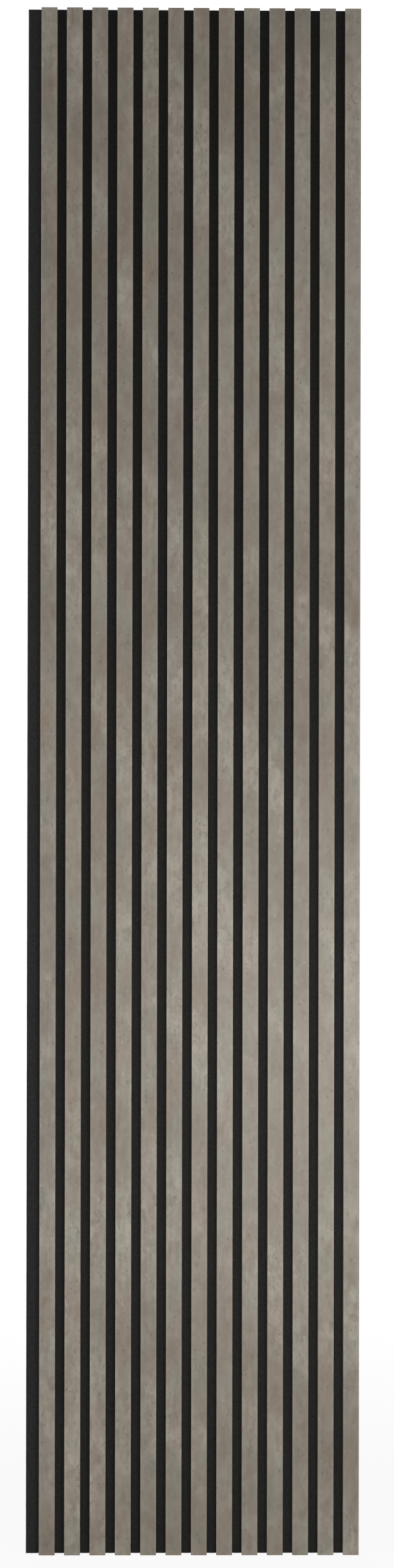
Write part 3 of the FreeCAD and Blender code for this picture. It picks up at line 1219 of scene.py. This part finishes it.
    def outward(self, x: np.ndarray, z: np.ndarray, xs: np.ndarray, zs: np.ndarray) -> np.ndarray:
        """Gives the way out of the sheet from points on its rim.

        Args:
            x: the places of the points across the panel.
            z: their heights.
            xs: the columns of the mesh.
            zs: its rows.

        Returns:
            One direction for each point, diagonal at a corner.
        """
        sideways = (x > xs[-1] - 1e-9) * 1.0 - (x < xs[0] + 1e-9) * 1.0
        upward = (z > zs[-1] - 1e-9) * 1.0 - (z < zs[0] + 1e-9) * 1.0
        return np.stack([sideways, np.zeros(len(x)), upward], axis=1)

    def edge_section(self) -> list[tuple[float, float, float]]:
        """Lists the points of the cut edge's cross-section.

        Returns:
            For each: how far out it is from 0 to 1, its share of the way to the back, and its
            distance from there.
        """
        radius = self.edge_radius
        return [
            (0.7, 0.0, 0.3 * radius),
            (1.0, 0.0, radius),
            (1.0, 0.33, 0.0),
            (1.0, 0.66, 0.0),
            (1.0, 1.0, -radius),
            (0.7, 1.0, -0.3 * radius),
        ]


@dataclass
class EdgeFibres:
    """Loose polyester fibres that stand out of the felt's four cut edges."""

    per_square_metre: float = 26000.0
    length: float = 1.4 * MM
    thickness: float = 0.10 * MM
    seed: int = 11

    def build(self, low: Vector, high: Vector, material: bpy.types.Material) -> bpy.types.Object:
        """Builds the fibres round the felt.

        Args:
            low: the felt's lowest corner.
            high: its highest corner.
            material: the felt's material.

        Returns:
            The fibres, as one piece.
        """
        values = {
            "Density": self.per_square_metre,
            "Fibre Length": self.length,
            "Fibre Thickness": self.thickness,
            "Seed": self.seed,
            "Fibre": material,
        }
        fibres = grow("felt_edge_fibres", self.fibre_tree(), values, self.edge_band(low, high))
        fit_to_part(fibres)
        return fibres

    def edge_band(self, low: Vector, high: Vector) -> bpy.types.Mesh:
        """Builds the band that the fibres grow from, a little below the felt's cut edge.

        Args:
            low: the felt's lowest corner.
            high: its highest corner.

        Returns:
            Four faces that look outwards.
        """
        inset = 0.4 * MM
        x0, x1, z0, z1 = low.x + inset, high.x - inset, low.z + inset, high.z - inset
        y0, y1 = low.y + 1.2 * MM, high.y - 1.2 * MM
        corners = [(x0, z0), (x1, z0), (x1, z1), (x0, z1)]
        points = [(x, y, z) for x, z in corners for y in (y0, y1)]
        faces = [(2 * i, 2 * i + 1, (2 * i + 3) % 8, (2 * i + 2) % 8) for i in range(4)]
        band = bpy.data.meshes.new("felt_edge_band")
        band.from_pydata(points, [], faces)
        return band

    def fibre_tree(self) -> bpy.types.NodeTree:
        """Builds the tree that scatters bent fibres over a band.

        Returns:
            The tree, with the fibres' number, size, seed and material as inputs.
        """
        tree, sizes = new_shape_tree(
            "loose felt fibres",
            {
                "Band": "Geometry",
                "Density": "Float",
                "Fibre Length": "Float",
                "Fibre Thickness": "Float",
                "Seed": "Int",
                "Fibre": "Material",
            },
        )
        roots = add_node(
            tree,
            "GeometryNodeDistributePointsOnFaces",
            {"Mesh": sizes["Band"], "Density": sizes["Density"], "Seed": sizes["Seed"]},
        )
        bend = add_node(
            tree,
            "GeometryNodeCurveQuadraticBezier",
            {"Resolution": 4, "Start": (0.0, 0.0, -0.15), "Middle": (0.05, 0.0, 0.75), "End": (0.75, 0.0, 0.6)},
        )
        curl = add_node(tree, "GeometryNodeTransform", {"Geometry": bend, "Scale": (1.0, 1.0, 1.0)})
        long_curl = add_node(
            tree,
            "ShaderNodeCombineXYZ",
            {"X": sizes["Fibre Length"], "Y": sizes["Fibre Length"], "Z": sizes["Fibre Length"]},
        )
        tree.links.new(long_curl.outputs[0], curl.inputs["Scale"])
        radius = add_node(tree, "ShaderNodeMath", {0: sizes["Fibre Thickness"], 1: 0.5}, operation="MULTIPLY")
        ring = add_node(tree, "GeometryNodeCurvePrimitiveCircle", {"Resolution": 3, "Radius": radius})
        fibre = add_node(tree, "GeometryNodeCurveToMesh", {"Curve": curl, "Profile Curve": ring, "Fill Caps": True})
        lean = add_node(
            tree,
            "FunctionNodeRandomValue",
            {0: (-0.7, -0.7, -math.pi), 1: (0.7, 0.7, math.pi), "Seed": sizes["Seed"]},
            data_type="FLOAT_VECTOR",
        )
        turn = add_node(tree, "FunctionNodeEulerToRotation", {"Euler": lean.outputs[0]})
        standing = add_node(
            tree,
            "FunctionNodeRotateRotation",
            {0: roots.outputs["Rotation"], 1: turn},
            rotation_space="LOCAL",
        )
        size = add_node(
            tree, "FunctionNodeRandomValue", {"Min": 0.5, "Max": 1.15, "Seed": sizes["Seed"]}, data_type="FLOAT"
        )
        fuzz = add_node(
            tree,
            "GeometryNodeInstanceOnPoints",
            {
                "Points": roots.outputs["Points"],
                "Instance": fibre,
                "Rotation": standing,
                "Scale": size.outputs[1],
            },
        )
        real = add_node(tree, "GeometryNodeRealizeInstances", {"Geometry": fuzz})
        dressed = add_node(tree, "GeometryNodeSetMaterial", {"Geometry": real, "Material": sizes["Fibre"]})
        add_node(tree, "NodeGroupOutput", {"Geometry": dressed})
        return tree


@dataclass
class StapleSet:
    """The wire staples, one column for each slat, driven through the felt into the slats' backs."""

    columns: int = 13
    rows: int = 8
    wire_width: float = 0.95 * MM
    wire_thickness: float = 0.65 * MM
    bend_radius: float = 0.9 * MM
    tip_length: float = 1.0 * MM
    crooked_degrees: float = 2.0
    seed: int = 5
    finish: GalvanisedWire = field(default_factory=GalvanisedWire)

    def build(self) -> bpy.types.Object:
        """Builds every staple where the part has one.

        Returns:
            The staples, as one piece.
        """
        low, high = (Vector(corner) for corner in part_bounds("staples"))
        crown = 2 * FeltBacking.crown_half
        values = {
            "Columns": self.columns,
            "Rows": self.rows,
            "Grid Width": high.x - low.x - crown,
            "Grid Height": high.z - low.z - self.wire_width,
            "Crown Width": crown - self.wire_thickness,
            "Leg Length": high.y - low.y - self.wire_thickness / 2,
            "Wire Width": self.wire_width,
            "Wire Thickness": self.wire_thickness,
            "Bend Radius": self.bend_radius,
            "Tip Length": self.tip_length,
            "Crooked": math.radians(self.crooked_degrees),
            "Centre": Vector(((low.x + high.x) / 2, high.y - self.wire_thickness / 2, (low.z + high.z) / 2)),
            "Seed": self.seed,
            "Wire": self.finish.material(),
        }
        staples = grow("staple_set", self.staple_tree(), values)
        fit_to_part(staples, "staples")
        return staples

    def staple_tree(self) -> bpy.types.NodeTree:
        """Builds the tree that bends one staple and repeats it over the grid.

        Returns:
            The tree, with the grid's and the wire's sizes, the seed and the material as inputs.
        """
        floats = ("Grid Width", "Grid Height", "Crown Width", "Leg Length", "Wire Width", "Wire Thickness")
        tree, sizes = new_shape_tree(
            "driven staples",
            {"Columns": "Int", "Rows": "Int"}
            | {name: "Float" for name in (*floats, "Bend Radius", "Tip Length", "Crooked")}
            | {"Centre": "Vector", "Seed": "Int", "Wire": "Material"},
        )
        staple = self.bent_wire(tree, sizes)
        grid = add_node(
            tree,
            "GeometryNodeMeshGrid",
            {
                "Size X": sizes["Grid Width"],
                "Size Y": sizes["Grid Height"],
                "Vertices X": sizes["Columns"],
                "Vertices Y": sizes["Rows"],
            },
        )
        standing = add_node(
            tree,
            "GeometryNodeTransform",
            {"Geometry": grid, "Translation": sizes["Centre"], "Rotation": (math.pi / 2, 0.0, 0.0)},
        )
        other_way = add_node(tree, "ShaderNodeMath", {0: sizes["Crooked"], 1: -1.0}, operation="MULTIPLY")
        tilt = add_node(
            tree, "FunctionNodeRandomValue", {"Min": other_way, "Max": sizes["Crooked"], "Seed": sizes["Seed"]}
        )
        turn = add_node(tree, "ShaderNodeCombineXYZ", {"Y": tilt.outputs[1]})
        rotation = add_node(tree, "FunctionNodeEulerToRotation", {"Euler": turn})
        driven = add_node(
            tree,
            "GeometryNodeInstanceOnPoints",
            {"Points": standing, "Instance": staple, "Rotation": rotation},
        )
        real = add_node(tree, "GeometryNodeRealizeInstances", {"Geometry": driven})
        dressed = add_node(tree, "GeometryNodeSetMaterial", {"Geometry": real, "Material": sizes["Wire"]})
        add_node(tree, "NodeGroupOutput", {"Geometry": dressed})
        return tree

    def bent_wire(self, tree: bpy.types.NodeTree, sizes: bpy.types.NodeOutputs) -> bpy.types.Node:
        """Adds one staple: flat wire bent round two corners, with tapered tips.

        Args:
            tree: the staples' tree.
            sizes: its inputs.

        Returns:
            The node that gives the staple, with the middle of its crown at the origin.
        """
        half = add_node(tree, "ShaderNodeMath", {0: sizes["Crown Width"], 1: 0.5}, operation="MULTIPLY")
        minus_half = add_node(tree, "ShaderNodeMath", {0: half, 1: -1.0}, operation="MULTIPLY")
        tip = add_node(tree, "ShaderNodeMath", {0: sizes["Leg Length"], 1: -1.0}, operation="MULTIPLY")
        path = add_node(
            tree,
            "GeometryNodeCurvePrimitiveQuadrilateral",
            {
                "Point 1": add_node(tree, "ShaderNodeCombineXYZ", {"X": minus_half, "Y": tip}),
                "Point 2": add_node(tree, "ShaderNodeCombineXYZ", {"X": minus_half}),
                "Point 3": add_node(tree, "ShaderNodeCombineXYZ", {"X": half}),
                "Point 4": add_node(tree, "ShaderNodeCombineXYZ", {"X": half, "Y": tip}),
            },
            mode="POINTS",
        )
        open_path = add_node(tree, "GeometryNodeSetSplineCyclic", {0: path, "Cyclic": False})
        on_leg = add_node(
            tree,
            "FunctionNodeCompare",
            {2: add_node(tree, "GeometryNodeInputIndex"), 3: 1},
            data_type="INT",
            operation="NOT_EQUAL",
        )
        halved = add_node(tree, "GeometryNodeSubdivideCurve", {"Curve": open_path, "Cuts": on_leg})
        place = add_node(tree, "GeometryNodeInputPosition")
        axes = add_node(tree, "ShaderNodeSeparateXYZ", {0: place})
        down = add_node(tree, "ShaderNodeMath", {0: axes.outputs["Y"], 1: tip}, operation="DIVIDE")
        mid_leg = add_node(
            tree, "FunctionNodeCompare", {"A": down, "B": 0.5, "Epsilon": 0.1}, operation="EQUAL"
        )
        shoulder = add_node(tree, "ShaderNodeMath", {0: tip, 1: sizes["Tip Length"]}, operation="ADD")
        lower = add_node(tree, "ShaderNodeCombineXYZ", {"X": axes.outputs["X"], "Y": shoulder})
        pointed = add_node(
            tree, "GeometryNodeSetPosition", {"Geometry": halved, "Selection": mid_leg, "Position": lower}
        )
        at_bend = add_node(
            tree, "FunctionNodeCompare", {"A": down, "B": 0.0, "Epsilon": 0.01}, operation="EQUAL"
        )
        rounding = add_node(tree, "ShaderNodeMath", {0: sizes["Bend Radius"], 1: at_bend}, operation="MULTIPLY")
        bent = add_node(
            tree,
            "GeometryNodeFilletCurve",
            {"Curve": pointed, "Radius": rounding, "Count": 2, "Limit Radius": True},
            mode="POLY",
        )
        wire = add_node(
            tree,
            "GeometryNodeCurvePrimitiveQuadrilateral",
            {"Width": sizes["Wire Thickness"], "Height": sizes["Wire Width"]},
        )
        at_tip = add_node(tree, "GeometryNodeCurveEndpointSelection", {"Start Size": 1, "End Size": 1})
        taper = add_node(tree, "GeometryNodeSwitch", {0: at_tip, 1: 1.0, 2: 0.35}, input_type="FLOAT")
        solid = add_node(
            tree,
            "GeometryNodeCurveToMesh",
            {"Curve": bent, "Profile Curve": wire, "Scale": taper, "Fill Caps": True},
        )
        return add_node(tree, "GeometryNodeSetShadeSmooth", {0: solid, "Shade Smooth": False})


@dataclass(frozen=True)
class PaleStudioFloor:
    """Matt white painted floor. It stays white to the eye far out and keeps the panel's shadow."""

    paint: str = "#D6D6D4"
    shadow_share: float = 0.08
    fade_start: float = 0.5
    fade_end: float = 2.0

    def material(self) -> bpy.types.Material:
        """Builds the floor's material."""
        material, tree = new_material("matt white floor paint")
        place = add_node(tree, "ShaderNodeTexCoord").outputs["Object"]
        grain = add_node(tree, "ShaderNodeTexNoise", {"Vector": place, "Scale": 40.0, "Detail": 2.0})
        relief = add_node(tree, "ShaderNodeBump", {"Strength": 0.05, "Distance": 0.2 * MM, "Height": grain})
        paint = add_node(tree, "ShaderNodeBsdfDiffuse", {"Color": linear(self.paint), "Normal": relief})
        white = add_node(tree, "ShaderNodeEmission", {"Color": (1.0, 1.0, 1.0, 1.0), "Strength": 1.0})
        distance = add_node(tree, "ShaderNodeVectorMath", {0: place}, operation="LENGTH")
        share = add_node(
            tree,
            "ShaderNodeMapRange",
            {
                "Value": distance.outputs["Value"],
                "From Min": self.fade_start,
                "From Max": self.fade_end,
                "To Min": 1.0 - self.shadow_share,
                "To Max": 1.0,
            },
            interpolation_type="SMOOTHSTEP",
        )
        seen = seen_by_eye(tree)
        amount = add_node(tree, "ShaderNodeMath", {0: share, 1: seen}, operation="MULTIPLY")
        surface = add_node(tree, "ShaderNodeMixShader", {0: amount, 1: paint, 2: white})
        add_node(tree, "ShaderNodeOutputMaterial", {"Surface": surface})
        return material


def seen_by_eye(tree: bpy.types.NodeTree) -> bpy.types.Node:
    """Adds a switch for what the camera sees, straight or in a mirror or through glass.

    Args:
        tree: a material's or the world's tree.

    Returns:
        The node that is 1 for such rays and 0 for the light that falls on the panel.
    """
    rays = add_node(tree, "ShaderNodeLightPath").outputs
    mirrored = add_node(
        tree, "ShaderNodeMath", {0: rays["Is Camera Ray"], 1: rays["Is Glossy Ray"]}, operation="MAXIMUM"
    )
    return add_node(tree, "ShaderNodeMath", {0: mirrored, 1: rays["Is Transmission Ray"]}, operation="MAXIMUM")


@dataclass
class Studio:
    """Plain soft light, a pale floor and the camera of the photograph."""

    ambient: float = 0.10
    key_place: tuple[float, float, float] = (0.30, -1.40, -0.47)
    key_aim: tuple[float, float, float] = (0.02, 0.0, -0.42)
    key_size: float = 1.1
    key_watts: float = 12.9
    side_place: tuple[float, float, float] = (2.0, -1.15, 1.1)
    side_aim: tuple[float, float, float] = (0.0, 0.0, 0.7)
    side_size: float = 1.4
    left_watts: float = 20.5
    right_watts: float = 15.0
    back_place: tuple[float, float, float] = (-0.9, 2.4, 0.7)
    back_size: float = 1.8
    back_watts: float = 42.0
    floor_half: float = 9.0
    floor: PaleStudioFloor = field(default_factory=PaleStudioFloor)

    def build(self, floor_height: float) -> None:
        """Lights the panel and stands it on its floor.

        Args:
            floor_height: the height of the panel's lowest point.
        """
        self.lamp("key_lamp", self.key_place, self.key_aim, self.key_size, self.key_watts)
        away, forward, up = self.side_place
        self.lamp("left_lamp", (-away, forward, up), self.side_aim, self.side_size, self.left_watts)
        self.lamp("right_lamp", (away, forward, up), self.side_aim, self.side_size, self.right_watts)
        self.lamp("back_lamp", self.back_place, (0.0, 0.0, 0.0), self.back_size, self.back_watts)
        self.world()
        self.lay_floor(floor_height)
        self.camera()
        bpy.context.scene.view_settings.view_transform = "Standard"
        log.info("studio: four lamps, world, floor and camera")

    def lamp(
        self,
        name: str,
        place: tuple[float, float, float],
        aim: tuple[float, float, float],
        size: float,
        watts: float,
    ) -> None:
        """Adds one square soft lamp.

        Args:
            name: the lamp's name.
            place: where it hangs.
            aim: the point that it looks at.
            size: the length of its sides.
            watts: its power.
        """
        data = bpy.data.lights.new(name, "AREA")
        data.shape = "SQUARE"
        data.size = size
        data.energy = watts
        lamp = bpy.data.objects.new(name, data)
        lamp.location = place
        lamp.rotation_euler = (Vector(aim) - Vector(place)).to_track_quat("-Z", "Y").to_euler()
        bpy.context.scene.collection.objects.link(lamp)

    def world(self) -> None:
        """Makes the surroundings: even grey light for the panel, white for the eye."""
        world = bpy.data.worlds.new("white studio")
        world.use_nodes = True
        tree = world.node_tree
        tree.nodes.clear()
        light = add_node(tree, "ShaderNodeBackground", {"Color": (1.0, 1.0, 1.0, 1.0), "Strength": self.ambient})
        white = add_node(tree, "ShaderNodeBackground", {"Color": (1.0, 1.0, 1.0, 1.0), "Strength": 1.0})
        both = add_node(tree, "ShaderNodeMixShader", {0: seen_by_eye(tree), 1: light, 2: white})
        add_node(tree, "ShaderNodeOutputWorld", {"Surface": both})
        bpy.context.scene.world = world

    def lay_floor(self, height: float) -> None:
        """Lays the floor under the panel.

        Args:
            height: the floor's height.
        """
        half = self.floor_half
        corners = [(-half, -half, height), (half, -half, height), (half, half, height), (-half, half, height)]
        mesh = bpy.data.meshes.new("studio_floor")
        mesh.from_pydata([(x, y, 0.0) for x, y, _ in corners], [], [(0, 1, 2, 3)])
        mesh.materials.append(self.floor.material())
        floor = bpy.data.objects.new("studio_floor", mesh)
        floor.location = (0.0, 0.0, height)
        bpy.context.scene.collection.objects.link(floor)
        floor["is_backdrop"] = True

    def camera(self) -> None:
        """Sets up the camera at the photograph's viewing angle."""
        data = bpy.data.cameras.new("photo_camera")
        data.lens = 61.365
        data.sensor_width = 36.0
        camera = bpy.data.objects.new("photo_camera", data)
        camera.location = (-0.03266, -4.23536, -0.01410)
        camera.rotation_euler = tuple(math.radians(angle) for angle in (90.12921, -0.10234, -0.56058))
        bpy.context.scene.collection.objects.link(camera)
        bpy.context.scene.camera = camera


def main() -> None:
    """Builds the panel's pieces in order, then the studio."""
    logging.basicConfig(level=logging.INFO, format="%(name)s: %(message)s")
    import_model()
    part_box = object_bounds()
    SlatRow().build()
    FeltBacking().build()
    StapleSet().build()
    Studio().build(part_box[0].z)


if __name__ == "__main__":
    main()
